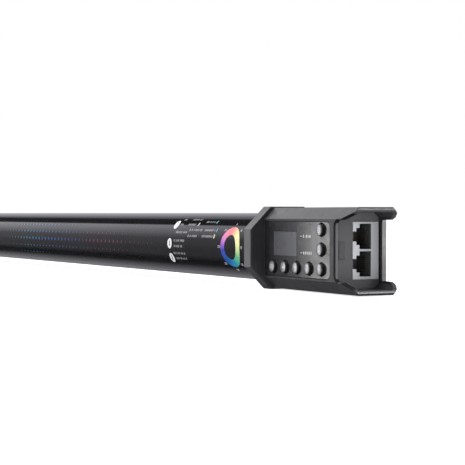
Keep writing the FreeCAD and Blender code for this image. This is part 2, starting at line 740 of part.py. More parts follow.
def make_ports():
    """End plate, the pair of data sockets on their own board, and the service port with its plug."""
    face = f"({PLATE_X} + jack_proud)"
    start = f"({face} - jack_depth)"
    seam = f"({face} - bezel_thickness)"
    bezel = box(seam, "jack_low", "-jack_height/2", "bezel_thickness", "jack_width", "jack_height")
    outlines = [port_outline(middle, seam, "bezel_thickness", "jack_low") for middle in SOCKET_MIDDLES]
    keep("socket_bezel", cut(bezel, *outlines))
    block = box(start, "jack_low", "-jack_height/2",
                "jack_depth - bezel_thickness", "jack_width", "jack_height")
    bay_low_x = f"{face} - bay_depth"
    bays = [port_outline(middle, bay_low_x, "bay_depth", "jack_low + 0.4") for middle in SOCKET_MIDDLES]
    keep("data_sockets", cut(block, *bays))
    contacts = [
        box(bay_low_x, "bay_low + bay_height - 0.3", f"{middle} + {(step - 3.5) * 1.02:.2f} - 0.2",
            "8", "0.3", "0.4")
        for middle in SOCKET_MIDDLES for step in range(8)
    ]
    keep("socket_contacts", group(*contacts))
    board_low = "jack_low - board_thickness"
    keep("socket_board", box(f"{start} - 1", board_low, "-board_height/2",
                             "jack_depth - 2.5", "board_thickness", "board_height"))
    keep("board_link", box(f"{start} + 2", BOARD_BACK, "-8", "5", f"{board_low} - {BOARD_BACK}", "16"))

    plate = Solid("port_plate")
    plate_low = f"{PLATE_X} - port_plate_thickness"
    plate.add("YZ", head_section("(head_wall + port_plate_gap)"), plate_low, "port_plate_thickness")
    window = rectangle(
        "jack_low - port_plate_gap", "jack_low + jack_width + port_plate_gap",
        "-jack_height/2 - port_plate_gap", "jack_height/2 + port_plate_gap")
    plate.remove("YZ", window, plate_low, "port_plate_thickness")
    plate.remove("YZ", service_outline("port_plate_gap"), plate_low, "port_plate_thickness")
    port_edge = value("service_width/2 + port_plate_gap")
    plate.round_edges("0.25", lambda edge: along(edge, X_AXIS)
                      and abs(abs(edge.Vertexes[0].Z) - port_edge) < 0.01)


SERVICE_Y = "(board_front - service_height/2)"


def service_outline(room):
    """Rectangle of the service port, larger all round by room."""
    half_y, half_z = f"(service_height/2 + {room})", f"(service_width/2 + {room})"
    return rectangle(f"{SERVICE_Y} - {half_y}", f"{SERVICE_Y} + {half_y}", f"-{half_z}", half_z)


def make_service_port():
    """Small socket on the main board, and the rubber plug that lies flush with the end plate."""
    mouth = f"({PLATE_X} - service_recess)"
    shell = box(f"{mouth} - 4.9", "board_front - 3.1", "-4.3", "4.9", "3.1", "8.6")
    hollow = box(f"{mouth} - 4.5", "board_front - 2.8", "-4.0", "4.5", "2.5", "8.0")
    tongue = box(f"{mouth} - 4.7", "board_front - 1.85", "-3.2", "3.6", "0.6", "6.4")
    keep("service_socket", fuse(cut(shell, hollow), tongue))

    plug = Solid("service_plug")
    plug.add("YZ", service_outline("0"), f"{mouth} + 0.1", "service_plug_cap")
    plug.round_edges("0.3", lambda edge: along(edge, X_AXIS))
    plug.add("YZ", rectangle("board_front - 2.7", "board_front - 0.4", "-3.9", "3.9"), f"{mouth} - 4", "4.2")
    hollow_outline = rectangle("board_front - 2.1", "board_front - 1.0", "-3.4", "3.4")
    plug.remove("YZ", hollow_outline, f"{mouth} - 4", "3.3")


def make_rear_cover():
    solid = Solid("rear_cover")
    back = "(head_depth/2 - plate_recess)"
    solid.add("XZ", cover_outline("0"), back, "plate_recess")
    solid.drill("XZ", COVER_POSTS, "1.0", back, "plate_recess")
    solid.drill("XZ", COVER_POSTS, "1.9", f"{back} + 0.5", "0.8")
    screws = []
    for x, z in COVER_POSTS:
        shank = rod("y", x, f"{back} - 4", z, "small_screw_radius", "4.5")
        head = rod("y", x, f"{back} + 0.5", z, "1.8", "0.6")
        slot = box(f"{x} - 1.4", f"{back} + 0.8", f"{z} - 0.25", "2.8", "0.4", "0.5")
        screws.append(cut(fuse(shank, head), slot))
    keep("cover_screws", group(*screws))


# ---------------------------------------------------------------- build, check, write

def check_all():
    doc.recompute()
    for obj in doc.Objects:
        if "Invalid" in obj.State or "Error" in obj.State:
            raise ValueError(f"{obj.Label} failed: {obj.State}")
    for label, obj in parts.items():
        if obj.Shape.isNull() or not obj.Shape.isValid() or not obj.Shape.Solids:
            raise ValueError(f"{label} has no valid solid")


def write_all():
    os.makedirs("parts", exist_ok=True)
    for label, obj in parts.items():
        obj.Shape.exportStep(os.path.join("parts", f"{label}.step"))
        print(f"{label}: {len(obj.Shape.Solids)} solids, {obj.Shape.Volume:.1f} mm3")


make_tube()
make_lamp()
make_battery()
make_driver()
make_wires()
make_collar("head_collar", COLLAR_X, f"{HEAD_X} - collar_web", COLLAR_X)
make_collar("cap_collar", FAR_COLLAR_X, FAR_COLLAR_X, f"{FAR_COLLAR_X} + collar_web")
make_seals()
make_end_cap()
make_head_shell()
keep("head_screws", long_screws(f"({HEAD_X} + head_wall)", -1))
make_face_plate()
make_display()
make_keys()
make_boards()
make_ports()
make_service_port()
make_rear_cover()
check_all()
write_all()
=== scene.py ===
import math
import random

import bmesh
import bpy
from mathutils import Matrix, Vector


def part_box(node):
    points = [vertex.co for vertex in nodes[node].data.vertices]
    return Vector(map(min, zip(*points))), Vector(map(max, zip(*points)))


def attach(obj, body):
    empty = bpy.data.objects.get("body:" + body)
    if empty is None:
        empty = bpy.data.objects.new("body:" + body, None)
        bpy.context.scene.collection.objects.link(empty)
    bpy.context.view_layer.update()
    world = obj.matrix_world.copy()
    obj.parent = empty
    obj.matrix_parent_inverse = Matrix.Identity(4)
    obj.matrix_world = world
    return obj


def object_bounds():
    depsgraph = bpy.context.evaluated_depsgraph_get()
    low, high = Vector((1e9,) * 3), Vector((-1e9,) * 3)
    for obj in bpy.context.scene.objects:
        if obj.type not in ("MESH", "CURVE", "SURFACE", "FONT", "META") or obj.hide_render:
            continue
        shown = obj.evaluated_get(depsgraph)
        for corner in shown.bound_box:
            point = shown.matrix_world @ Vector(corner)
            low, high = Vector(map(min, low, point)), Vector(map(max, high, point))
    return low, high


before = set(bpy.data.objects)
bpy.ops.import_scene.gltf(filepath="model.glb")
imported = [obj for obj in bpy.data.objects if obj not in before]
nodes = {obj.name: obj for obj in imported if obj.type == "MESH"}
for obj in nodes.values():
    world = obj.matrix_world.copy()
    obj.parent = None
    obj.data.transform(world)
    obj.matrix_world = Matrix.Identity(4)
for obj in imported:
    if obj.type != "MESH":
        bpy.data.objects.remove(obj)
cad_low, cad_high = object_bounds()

MM = 0.001
random.seed(7)

# ---------------------------------------------------------------- places read from the frame

FILM_LOW, FILM_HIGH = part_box("graphics_film")
TUBE_RADIUS = (FILM_HIGH.z - FILM_LOW.z) / 2
COLLAR_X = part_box("head_collar")[0].x
SHELL_LOW, SHELL_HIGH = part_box("head_shell")
SOCKET_LOW, SOCKET_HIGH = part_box("socket_bezel")
END_PLATE_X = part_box("port_plate")[1].x
PANEL_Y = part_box("face_plate")[0].y
FLOOR_Z = cad_low.z
KEYS = [name for name in nodes if name.startswith("key_")]
STEMS = [name for name in nodes if name.startswith("stem_")]

# ---------------------------------------------------------------- sizes of details

KEY_RADIUS = 3.1 * MM  # in front of the panel; behind it each cap has a wider flange
PRINT_LIFT = 0.03 * MM
PRINT_THICKNESS = 0.03 * MM
FONT_SIZE = 1.4  # of a number of height 1

# on the tube, u runs along it from the head collar and v round it from its front line
HUE_RING_U, HUE_RING_V = -27.2 * MM, -0.4 * MM
HUE_RING_INNER, HUE_RING_OUTER, HUE_SCALE_RADIUS = 7.25 * MM, 12.1 * MM, 14.2 * MM
HUE_NUMBER_HEIGHT = 1.5 * MM
BADGE_PLACES = ((-108.1, 39.0), (-110.4, 1.2), (-110.6, -26.7))  # mm along it and degrees round it
BADGE_RADIUS, BADGE_NUMBER_HEIGHT = 3.15 * MM, 2.8 * MM
ROW_HEIGHT = 1.6 * MM
MARK_LENGTH, MARK_WIDTH = 2.6 * MM, 1.3 * MM
DOTS_START, DOTS_PITCH = -137.6 * MM, 7.24 * MM
DOTS_REACH = 440 * MM  # from the head collar

# on the panel, gaps run from the left edge of the right-hand keys' flanges
LABEL_HEIGHT, LABEL_GAP, DASH_GAP = 1.8 * MM, 15.2 * MM, 17.7 * MM
DASH_LENGTH, DASH_WIDTH = 1.2 * MM, 0.6 * MM
ICON_STROKE = 0.42 * MM


# ---------------------------------------------------------------- node helpers

class Nodes:
    """Short ways to add nodes to a tree and to join them."""

    def __init__(self, tree):
        self.tree = tree

    def add(self, kind, **settings):
        node = self.tree.nodes.new(kind)
        for setting, amount in settings.items():
            setattr(node, setting, amount)
        return node

    def give(self, socket, value):
        """A socket takes a colour, a number or another node's output."""
        if isinstance(value, tuple):
            socket.default_value = (*value, 1)
        elif isinstance(value, (int, float)):
            socket.default_value = value
        else:
            self.tree.links.new(value, socket)

    def maths(self, operation, *values):
        node = self.add("ShaderNodeMath", operation=operation)
        for socket, value in zip(node.inputs, values):
            self.give(socket, value)
        return node.outputs["Value"]

    def every(self, *tests):
        """1 where all of the tests are 1, or else 0."""
        product = tests[0]
        for test in tests[1:]:
            product = self.maths("MULTIPLY", product, test)
        return product

    def axes(self, source):
        node = self.add("ShaderNodeSeparateXYZ")
        self.give(node.inputs[0], source)
        return [node.outputs[axis] for axis in "XYZ"]

    def mix(self, factor, first, second, blend="MIX"):
        """A mix of two colours. The node's colour sockets are its inputs 6 and 7 and its output 2."""
        node = self.add("ShaderNodeMix", data_type="RGBA", blend_type=blend)
        for index, value in ((0, factor), (6, first), (7, second)):
            self.give(node.inputs[index], value)
        return node.outputs[2]

    def ramp(self, source, stops):
        """A colour ramp over stops of (place, colour or grey)."""
        node = self.add("ShaderNodeValToRGB")
        elements = node.color_ramp.elements
        while len(elements) > 1:
            elements.remove(elements[-1])
        for index, (place, colour) in enumerate(stops):
            element = elements[0] if index == 0 else elements.new(place)
            element.position = place
            element.color = (*colour, 1) if isinstance(colour, tuple) else (colour, colour, colour, 1)
        self.give(node.inputs["Fac"], source)
        return node.outputs["Color"]


class Shader(Nodes):
    """A Principled material."""

    def __init__(self, name, colour, roughness, **settings):
        self.material = bpy.data.materials.new(name)
        self.material.use_nodes = True
        super().__init__(self.material.node_tree)
        self.surface = self.tree.nodes["Principled BSDF"]
        self.place = self.add("ShaderNodeTexCoord").outputs["Object"]
        self.feed(Base_Color=colour, Roughness=roughness, **settings)

    def feed(self, **sockets):
        """Gives values to sockets of the surface, whose names have _ for each space."""
        for name, value in sockets.items():
            self.give(self.surface.inputs[name.replace("_", " ")], value)

    def noise(self, size, detail=3, stretch=(1, 1, 1), roughness=0.5):
        """Noise whose blotches are about size metres across, longer along any axis with stretch over 1."""
        mapping = self.add("ShaderNodeMapping")
        mapping.inputs["Scale"].default_value = [1 / (size * longer) for longer in stretch]
        self.give(mapping.inputs["Vector"], self.place)
        noise = self.add("ShaderNodeTexNoise")
        self.give(noise.inputs["Vector"], mapping.outputs["Vector"])
        self.give(noise.inputs["Scale"], 1)
        self.give(noise.inputs["Detail"], detail)
        self.give(noise.inputs["Roughness"], roughness)
        return noise.outputs["Fac"]

    def normal(self):
        return self.axes(self.add("ShaderNodeNewGeometry").outputs["Normal"])

    def bump(self, source, height):
        """Bump whose full swing stands for height metres."""
        node = self.add("ShaderNodeBump")
        self.give(node.inputs["Strength"], 1)
        self.give(node.inputs["Distance"], height)
        self.give(node.inputs["Height"], source)
        self.feed(Normal=node.outputs["Normal"])


# ---------------------------------------------------------------- plastics

def moulding(name, colour, roughness, grain=0.35 * MM, depth=0.02 * MM, tone=0.12, **settings):
    """Moulded plastic: fine spark texture, slow colour drift and uneven gloss. It gives the shader, the
    drifting colour and the gloss."""
    s = Shader(name, colour, roughness, **settings)
    darker, lighter = [tuple(c * k for c in colour) for k in (1 - tone, 1 + tone)]
    drift = s.ramp(s.noise(14 * MM, detail=4), [(0.3, darker), (0.7, lighter)])
    gloss = s.ramp(s.noise(5 * MM, detail=5), [(0.25, roughness - 0.07), (0.75, roughness + 0.07)])
    s.feed(Base_Color=drift, Roughness=gloss)
    s.bump(s.noise(grain, detail=2), depth)
    return s, drift, gloss


def moulded(name, colour, roughness, **settings):
    return moulding(name, colour, roughness, **settings)[0].material


def shell_material():
    """The head's satin black moulding. Where the front wall ends beside the sockets it is matt, painted a
    grey that stands for light and shade, with painted shade in black along that end's rim and the outer
    rim of the horns' tips."""
    front_wall_end_x, front_wall_back_y = END_PLATE_X + 1.9 * MM, -10.5 * MM
    horn_tip_x, horn_face_x = SHELL_HIGH.x - 3 * MM, SHELL_HIGH.x - 1 * MM
    top_rim_z, bottom_rim_z = SHELL_HIGH.z - 0.7 * MM, SHELL_LOW.z + 1.1 * MM
    front_rim_y, flank_z = SHELL_LOW.y + 1 * MM, 14 * MM
    s, drift, gloss = moulding("shell_satin_black", (0.030, 0.030, 0.033), 0.36)
    x, y, z = s.axes(s.place)
    faces_end = s.maths("GREATER_THAN", s.normal()[0], 0.2)
    wall_end = s.every(
        faces_end,
        s.maths("GREATER_THAN", x, front_wall_end_x),
        s.maths("LESS_THAN", x, horn_face_x),
        s.maths("LESS_THAN", y, front_wall_back_y),
    )
    at_top, at_bottom = s.maths("GREATER_THAN", z, top_rim_z), s.maths("LESS_THAN", z, bottom_rim_z)
    outer_rim = s.maths("MAXIMUM", at_top, at_bottom)
    tip_rim = s.every(faces_end, s.maths("GREATER_THAN", x, horn_tip_x), outer_rim)
    # painted light and shade: the front wall's end and the horns' tip rims get their own colour and a matt
    # finish in place of the light and shade that fall there
    painted_light_and_shade = s.maths("MAXIMUM", wall_end, tip_rim)
    front_rim = s.maths("LESS_THAN", y, front_rim_y)
    flank = s.maths("GREATER_THAN", s.maths("ABSOLUTE", z), flank_z)
    # painted shade: a flat grey on the wall's end, and black along its front rim and the flanks, which
    # stands for their rounded edges
    painted_light_and_shade_colour = s.mix(s.maths("MAXIMUM", front_rim, flank), (0.092, 0.092, 0.097), (0.004, 0.004, 0.005))
    s.feed(
        Base_Color=s.mix(painted_light_and_shade, drift, painted_light_and_shade_colour),
        Roughness=s.mix(painted_light_and_shade, gloss, (0.65, 0.65, 0.65)),
        Specular_IOR_Level=s.maths("SUBTRACT", 0.5, s.maths("MULTIPLY", painted_light_and_shade, 0.3)),
    )
    return s.material


def film_material():
    """Gloss black film: faint handling smears in the gloss and a very slight orange peel."""
    s = Shader("film_gloss_black", (0.004, 0.004, 0.005), 0.07)
    smears = s.noise(9 * MM, detail=6, stretch=(3, 1, 1), roughness=0.6)
    s.feed(
        Roughness=s.ramp(smears, [(0.3, 0.05), (0.8, 0.12)]),
        Base_Color=s.ramp(s.noise(40 * MM), [(0.3, (0.003, 0.003, 0.004)), (0.7, (0.006, 0.006, 0.007))]),
    )
    s.bump(s.noise(2.5 * MM, detail=1), 0.002 * MM)
    return s.material


def diffuser_material():
    """Opal polycarbonate, a little warm where the lamp chips sit behind it."""
    chip_pitch, scatter = 12 * MM, 2 * MM
    s = Shader("diffuser_opal", (0.86, 0.87, 0.86), 0.36, Subsurface_Weight=0.25)
    s.surface.inputs["Subsurface Radius"].default_value = (scatter, scatter, scatter)
    x, _, z = s.axes(s.place)
    wave = s.maths("COSINE", s.maths("MULTIPLY", x, 2 * math.pi / chip_pitch))
    over_chip = s.maths("MULTIPLY_ADD", wave, 0.5, 0.5)
    off_middle = s.maths("ABSOLUTE", s.maths("DIVIDE", z, TUBE_RADIUS))
    warmth = s.maths("MULTIPLY", over_chip, s.maths("SUBTRACT", 1, off_middle))
    s.feed(Base_Color=s.mix(warmth, (0.86, 0.87, 0.87), (0.90, 0.86, 0.74)))
    s.bump(s.noise(0.25 * MM, detail=2), 0.004 * MM)
    return s.material


def window_material():
    """Display window: smoked, with a soft gloss, and a dark grey like that of a screen at rest."""
    s = Shader("display_smoked", (0.046, 0.047, 0.052), 0.27)
    s.feed(
        Base_Color=s.ramp(s.noise(6 * MM), [(0.3, (0.040, 0.041, 0.045)), (0.7, (0.052, 0.053, 0.058))]),
        Roughness=s.ramp(s.noise(9 * MM, detail=0), [(0.3, 0.265), (0.7, 0.275)]),
    )
    return s.material


def key_material(name):
    """Key cap: pearl silver on the gently domed face, with painted shade darker at the rim and black down
    the sides.
    """
    s = Shader(f"pearl_{name}", (0.3, 0.3, 0.31), 0.3)
    low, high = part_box(name)
    x, _, z = s.axes(s.place)
    across = s.maths("SUBTRACT", x, (low.x + high.x) / 2)
    up = s.maths("SUBTRACT", z, (low.z + high.z) / 2)
    squares = s.maths("ADD", s.maths("MULTIPLY", across, across), s.maths("MULTIPLY", up, up))
    outwards = s.maths("DIVIDE", squares, KEY_RADIUS ** 2)
    on_face = s.ramp(s.maths("MULTIPLY", s.normal()[1], -1), [(0.85, 0.0), (0.97, 1.0)])
    flake = s.ramp(s.noise(0.12 * MM, detail=2), [(0.35, (0.17, 0.17, 0.18)), (0.7, (0.34, 0.34, 0.355))])
    # painted shade: the face darkens from pearl flake to near black towards its rim
    face = s.mix(s.ramp(outwards, [(0.35, 0.0), (0.95, 1.0)]), flake, (0.05, 0.05, 0.053))
    s.feed(
        # painted shade: the sides of the cap are near black
        Base_Color=s.mix(on_face, (0.012, 0.012, 0.013), face),
        Metallic=s.maths("MULTIPLY", on_face, 0.55),
        Roughness=s.ramp(on_face, [(0.0, 0.5), (1.0, 0.28)]),
    )
    grain = s.maths("MULTIPLY", s.noise(0.15 * MM, detail=1), 0.01)
    s.bump(s.maths("SUBTRACT", grain, outwards), 0.3 * MM)
    return s.material


# ---------------------------------------------------------------- inks

def screen_mesh(s):
    """The trace of the screen's mesh in a printed surface."""
    s.bump(s.noise(0.12 * MM, detail=1), 0.003 * MM)


def ink(name, colour, roughness=0.3):
    """Screen-printed ink, slightly uneven in density."""
    s = Shader(name, colour, roughness)
    thin = tuple(c * 0.86 for c in colour)
    s.feed(Base_Color=s.ramp(s.noise(0.8 * MM, detail=4), [(0.3, thin), (0.65, colour)]))
    screen_mesh(s)
    return s.material


def hue_material():
    """The hue ring: colour turns with the angle round the ring, read from the print's flat map."""
    s = Shader("ink_hue_ring", (1, 1, 1), 0.3)
    flat = s.add("ShaderNodeUVMap", uv_map="print").outputs["UV"]
    facing = s.add("ShaderNodeVectorMath", operation="SCALE")
    s.give(facing.inputs[0], flat)
    s.give(facing.inputs["Scale"], -1)
    turn = s.add("ShaderNodeTexGradient", gradient_type="RADIAL")
    s.give(turn.inputs["Vector"], facing.outputs[0])
    hue = s.ramp(turn.outputs["Fac"], [
        (0.00, (0.68, 0.74, 0.33)), (0.05, (0.84, 0.80, 0.38)), (0.12, (0.88, 0.76, 0.40)),
        (0.19, (0.84, 0.47, 0.27)), (0.25, (0.78, 0.22, 0.18)), (0.34, (0.72, 0.20, 0.30)),
        (0.42, (0.62, 0.20, 0.54)), (0.48, (0.28, 0.11, 0.50)), (0.53, (0.03, 0.05, 0.38)),
        (0.64, (0.005, 0.09, 0.40)), (0.74, (0.01, 0.23, 0.52)), (0.82, (0.04, 0.40, 0.42)),
        (0.91, (0.16, 0.52, 0.22)), (1.00, (0.68, 0.74, 0.33)),
    ])
    density = s.ramp(s.noise(0.6 * MM, detail=4), [(0.3, 0.88), (0.65, 1.0)])
    s.feed(Base_Color=s.mix(1, hue, density, blend="MULTIPLY"))
    screen_mesh(s)
    return s.material


def dot_material():
    """The dots: dull red nearest the head, then pink, violet, blue and cyan further along the tube."""
    s = Shader("ink_dots", (1, 1, 1), 0.3)
    from_collar = s.maths("SUBTRACT", COLLAR_X, s.axes(s.place)[0])
    s.feed(Base_Color=s.ramp(s.maths("MULTIPLY", from_collar, 1 / DOTS_REACH), [
        (0.30, (0.03, 0.012, 0.014)), (0.40, (0.09, 0.025, 0.035)), (0.47, (0.13, 0.024, 0.05)),
        (0.53, (0.16, 0.018, 0.075)), (0.57, (0.12, 0.022, 0.09)), (0.60, (0.04, 0.025, 0.08)),
        (0.64, (0.02, 0.05, 0.20)), (0.74, (0.02, 0.10, 0.36)), (0.88, (0.02, 0.22, 0.36)),
        (1.00, (0.01, 0.08, 0.12)),
    ]))
    screen_mesh(s)
    return s.material


# ---------------------------------------------------------------- metals and boards

def turned_metal(name, colour, roughness):
    """Turned or rolled metal with fine lines round the tool path and patchy gloss."""
    s = Shader(name, colour, roughness, Metallic=1)
    dull = tuple(c * 0.8 for c in colour)
    s.feed(
        Roughness=s.ramp(s.noise(1.5 * MM, detail=5), [(0.3, roughness - 0.08), (0.7, roughness + 0.10)]),
        Base_Color=s.ramp(s.noise(3 * MM, detail=4), [(0.3, dull), (0.6, colour)]),
    )
    s.bump(s.noise(0.2 * MM, detail=2, stretch=(0.3, 3, 3)), 0.004 * MM)
    return s.material


def board_material(name, colour):
    """Circuit board: solder mask with the copper tracks showing slightly through it."""
    s = Shader(name, colour, 0.32)
    tracks = s.add("ShaderNodeTexBrick")
    s.give(tracks.inputs["Vector"], s.place)
    s.give(tracks.inputs["Scale"], 260)
    s.give(tracks.inputs["Mortar Size"], 0.06)
    s.give(tracks.inputs["Color1"], colour)
    s.give(tracks.inputs["Color2"], tuple(c * 0.8 for c in colour))
    s.give(tracks.inputs["Mortar"], tuple(min(1, c * 1.7) for c in colour))
    s.feed(Base_Color=tracks.outputs["Color"])
    s.bump(tracks.outputs["Fac"], 0.01 * MM)
    return s.material


# ---------------------------------------------------------------- materials of the CAD nodes

def paint(material, *names):
    for name in names:
        mesh = nodes[name].data
        mesh.materials.clear()
        mesh.materials.append(material)


def paint_outside():
    paint(shell_material(), "head_shell", "end_cap", "rear_cover")
    paint(moulded("collar_satin_black", (0.034, 0.034, 0.037), 0.38), "head_collar", "cap_collar")
    panel = moulded(
        "panel_satin_black", (0.014, 0.014, 0.015), 0.23,
        grain=0.25 * MM, depth=0.004 * MM, Specular_IOR_Level=0.35,
    )
    paint(panel, "face_plate")
    # painted light: the end plate's grey is partly its own colour and partly painted light falling on it
    paint(moulded("port_plate_grey_and_painted_light", (0.148, 0.148, 0.154), 0.5), "port_plate")
    jack = moulded("jack_light_grey", (0.41, 0.42, 0.435), 0.45, depth=0.008 * MM, tone=0.05)
    paint(jack, "socket_bezel")
    paint(moulded("socket_black", (0.12, 0.12, 0.123), 0.5), "data_sockets")
    paint(moulded("service_plug_rubber", (0.12, 0.12, 0.125), 0.6), "service_plug")
    paint(moulded("seal_black", (0.02, 0.02, 0.02), 0.7), "tube_seals", "cap_hole_plugs")
    paint(moulded("spine_black", (0.01, 0.01, 0.011), 0.3), "tube_spine")
    paint(film_material(), "graphics_film")
    paint(diffuser_material(), "diffuser")
    paint(window_material(), "display_lens", "display_glass")
    for name in KEYS:
        paint(key_material(name), name)
    paint(turned_metal("brass_turned", (0.75, 0.55, 0.24), 0.3), "thread_insert")
    zinc = turned_metal("screw_black_zinc", (0.16, 0.16, 0.17), 0.4)
    paint(zinc, "cap_screws", "head_screws", "board_screws", "cover_screws")


def paint_inside():
    inner = moulded("inner_black", (0.02, 0.02, 0.021), 0.55)
    paint(inner, "battery_cradles", "display_frame", "driver_sockets")
    package = moulded("package_black", (0.025, 0.025, 0.027), 0.5)
    paint(package, "switch_bodies", "board_components", "driver_components", "board_link")
    paint(moulded("stem_grey", (0.10, 0.10, 0.105), 0.5), *STEMS)
    paint(moulded("sleeve_blue", (0.03, 0.09, 0.22), 0.35), "battery_cells", "battery_sleeve")
    paint(moulded("lead_red", (0.4, 0.02, 0.02), 0.45), "battery_leads", "head_leads")
    paint(moulded("lamp_phosphor", (0.75, 0.62, 0.2), 0.3), "led_chips")
    green = board_material("board_green", (0.015, 0.12, 0.05))
    paint(green, "main_board", "battery_board", "driver_board", "socket_board")
    paint(board_material("board_white", (0.75, 0.75, 0.75)), "led_board")
    paint(turned_metal("contact_plating", (0.55, 0.50, 0.40), 0.35), "socket_contacts")
    nickel = turned_metal("nickel_strip", (0.6, 0.6, 0.57), 0.35)
    paint(nickel, "cell_links", "radio_module", "service_socket")


# ---------------------------------------------------------------- flat outlines

def polygon(points):
    return points, [tuple(range(len(points)))]


def disc(radius, sides, rings=1):
    """Points and faces of a flat disc made of rings, so that it can be bent."""
    points = [(0.0, 0.0)]
    for step in range(1, rings + 1):
        for side in range(sides):
            turn = 2 * math.pi * side / sides
            points.append((radius * step / rings * math.cos(turn), radius * step / rings * math.sin(turn)))
    faces = [(0, 1 + side, 1 + (side + 1) % sides) for side in range(sides)]
    for step in range(rings - 1):
        inner, outer = 1 + step * sides, 1 + (step + 1) * sides
        for side in range(sides):
            after = (side + 1) % sides
            faces.append((inner + side, outer + side, outer + after, inner + after))
    return points, faces


def ring(inner_radius, outer_radius, sides, rings=1, start=0.0, sweep=360):
    """Points and faces of a flat ring, or of the part of one that sweeps so many degrees from start."""
    columns = sides if sweep == 360 else sides + 1
    points = []
    for step in range(rings + 1):
        radius = inner_radius + (outer_radius - inner_radius) * step / rings
        for side in range(columns):
            turn = math.radians(start + sweep * side / sides)
            points.append((radius * math.cos(turn), radius * math.sin(turn)))
    faces = []
    for step in range(rings):
        inner, outer = step * columns, (step + 1) * columns
        for side in range(sides):
            after = (side + 1) % columns
            faces.append((inner + side, outer + side, outer + after, inner + after))
    return points, faces


def bar(length, height, corner_steps=6):
    """Points and face of a bar with round ends, starting at the origin and running along +u."""
    radius = min(length, height) / 2
    points = []
    for middle, first in ((length - radius, -90), (radius, 90)):
        for step in range(corner_steps + 1):
            turn = math.radians(first + 180 * step / corner_steps)
            points.append((middle + radius * math.cos(turn), height / 2 * math.sin(turn)))
    return polygon(points)


def glyphs(text, height, bold=0.0):
    """Points and faces of a short number in the built-in face, centred on the origin."""
    curve = bpy.data.curves.new("glyphs", "FONT")
    curve.body = text
    curve.size = height * FONT_SIZE
    curve.align_x = "CENTER"
    curve.align_y = "CENTER"
    curve.resolution_u = 4
    curve.offset = bold
    holder = bpy.data.objects.new("glyphs", curve)
    bpy.context.scene.collection.objects.link(holder)
    mesh = bpy.data.meshes.new_from_object(holder.evaluated_get(bpy.context.evaluated_depsgraph_get()))
    points = [(vertex.co.x, vertex.co.y) for vertex in mesh.vertices]
    faces = [tuple(face.vertices) for face in mesh.polygons]
    bpy.data.objects.remove(holder)
    bpy.data.meshes.remove(mesh)
    return points, faces


def moved(shape, u, v):
    points, faces = shape
    return [(pu + u, pv + v) for pu, pv in points], faces


def turned(shape, degrees):
    cosine, sine = math.cos(math.radians(degrees)), math.sin(math.radians(degrees))
    points, faces = shape
    return [(cosine * u - sine * v, sine * u + cosine * v) for u, v in points], faces


def words(length, height, u, v):
    """A row of short bars that stands for a row of small print."""
    shapes, place = [], 0.0
    while place < length - height:
        letter = min(random.choice((0.55, 0.7, 0.8, 1.0)) * height, length - place)
        shapes.append(moved(bar(letter, height), u + place, v))
        place += letter + random.choice((0.3, 0.3, 0.35, 0.9)) * height
    return shapes


# ---------------------------------------------------------------- prints

def arc(degrees):
    return math.radians(degrees) * TUBE_RADIUS


def on_tube(u, v, coat=0):
    """u runs along the tube from the head collar, v round it from its front line, both in metres. A
    second coat lies on the first."""
    turn = v / TUBE_RADIUS
    radius = TUBE_RADIUS + PRINT_LIFT + coat * PRINT_THICKNESS
    return Vector((COLLAR_X + u, -radius * math.cos(turn), radius * math.sin(turn)))


def on_second_coat(u, v):
    return on_tube(u, v, coat=1)


def on_panel(u, v, front=PANEL_Y):
    return Vector((u, front - PRINT_LIFT, v))


def printed(name, shapes, material, place, body="housing", centre=(0.0, 0.0)):
    """One thin closed piece from flat shapes, laid on a surface by place(u, v). Its map is flat, about
    centre."""
    mesh = bpy.data.meshes.new(name)
    work = bmesh.new()
    flat = work.loops.layers.uv.new("print")
    for points, faces in shapes:
        corners = [work.verts.new(place(u, v)) for u, v in points]
        for face in faces:
            built = work.faces.new([corners[index] for index in face])
            for loop, index in zip(built.loops, face):
                loop[flat].uv = (points[index][0] - centre[0], points[index][1] - centre[1])
    bmesh.ops.recalc_face_normals(work, faces=work.faces)
    work.to_mesh(mesh)
    work.free()
    mesh.materials.append(material)
    piece = bpy.data.objects.new(name, mesh)
    bpy.context.scene.collection.objects.link(piece)
    solid = piece.modifiers.new("thickness", "SOLIDIFY")
    solid.thickness = PRINT_THICKNESS
    solid.offset = 0
    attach(piece, body)


def print_hue_ring():
    """The hue ring and the degrees round it, every 45 from the top."""
    centre = (HUE_RING_U, HUE_RING_V)
    hue = moved(ring(HUE_RING_INNER, HUE_RING_OUTER, 96, rings=6), *centre)
    printed("hue_ring", [hue], hue_material(), on_tube, centre=centre)
    numbers = []
    for degrees in range(0, 360, 45):
        turn = math.radians(90 - degrees)
        u = HUE_RING_U + HUE_SCALE_RADIUS * math.cos(turn)
        v = HUE_RING_V + HUE_SCALE_RADIUS * math.sin(turn)
        numbers.append(moved(glyphs(str(degrees), HUE_NUMBER_HEIGHT), u, v))
    printed("hue_ring_numbers", numbers, ink("ink_white_fine", (0.62, 0.62, 0.62)), on_tube)


def print_badges():
    """White round badges, each with a black number in a second coat."""
    white, black = ink("ink_white", (0.80, 0.80, 0.80)), ink("ink_black", (0.01, 0.01, 0.01))
    for number, (start, degrees) in enumerate(BADGE_PLACES, start=1):
        u, v = start * MM, arc(degrees)
        badge = moved(disc(BADGE_RADIUS, 40, rings=5), u, v)
        printed(f"step_badge_{number}", [badge], white, on_tube)
        figure = moved(glyphs(str(number), BADGE_NUMBER_HEIGHT, bold=0.12 * MM), u, v)
        printed(f"step_badge_number_{number}", [figure], black, on_second_coat)


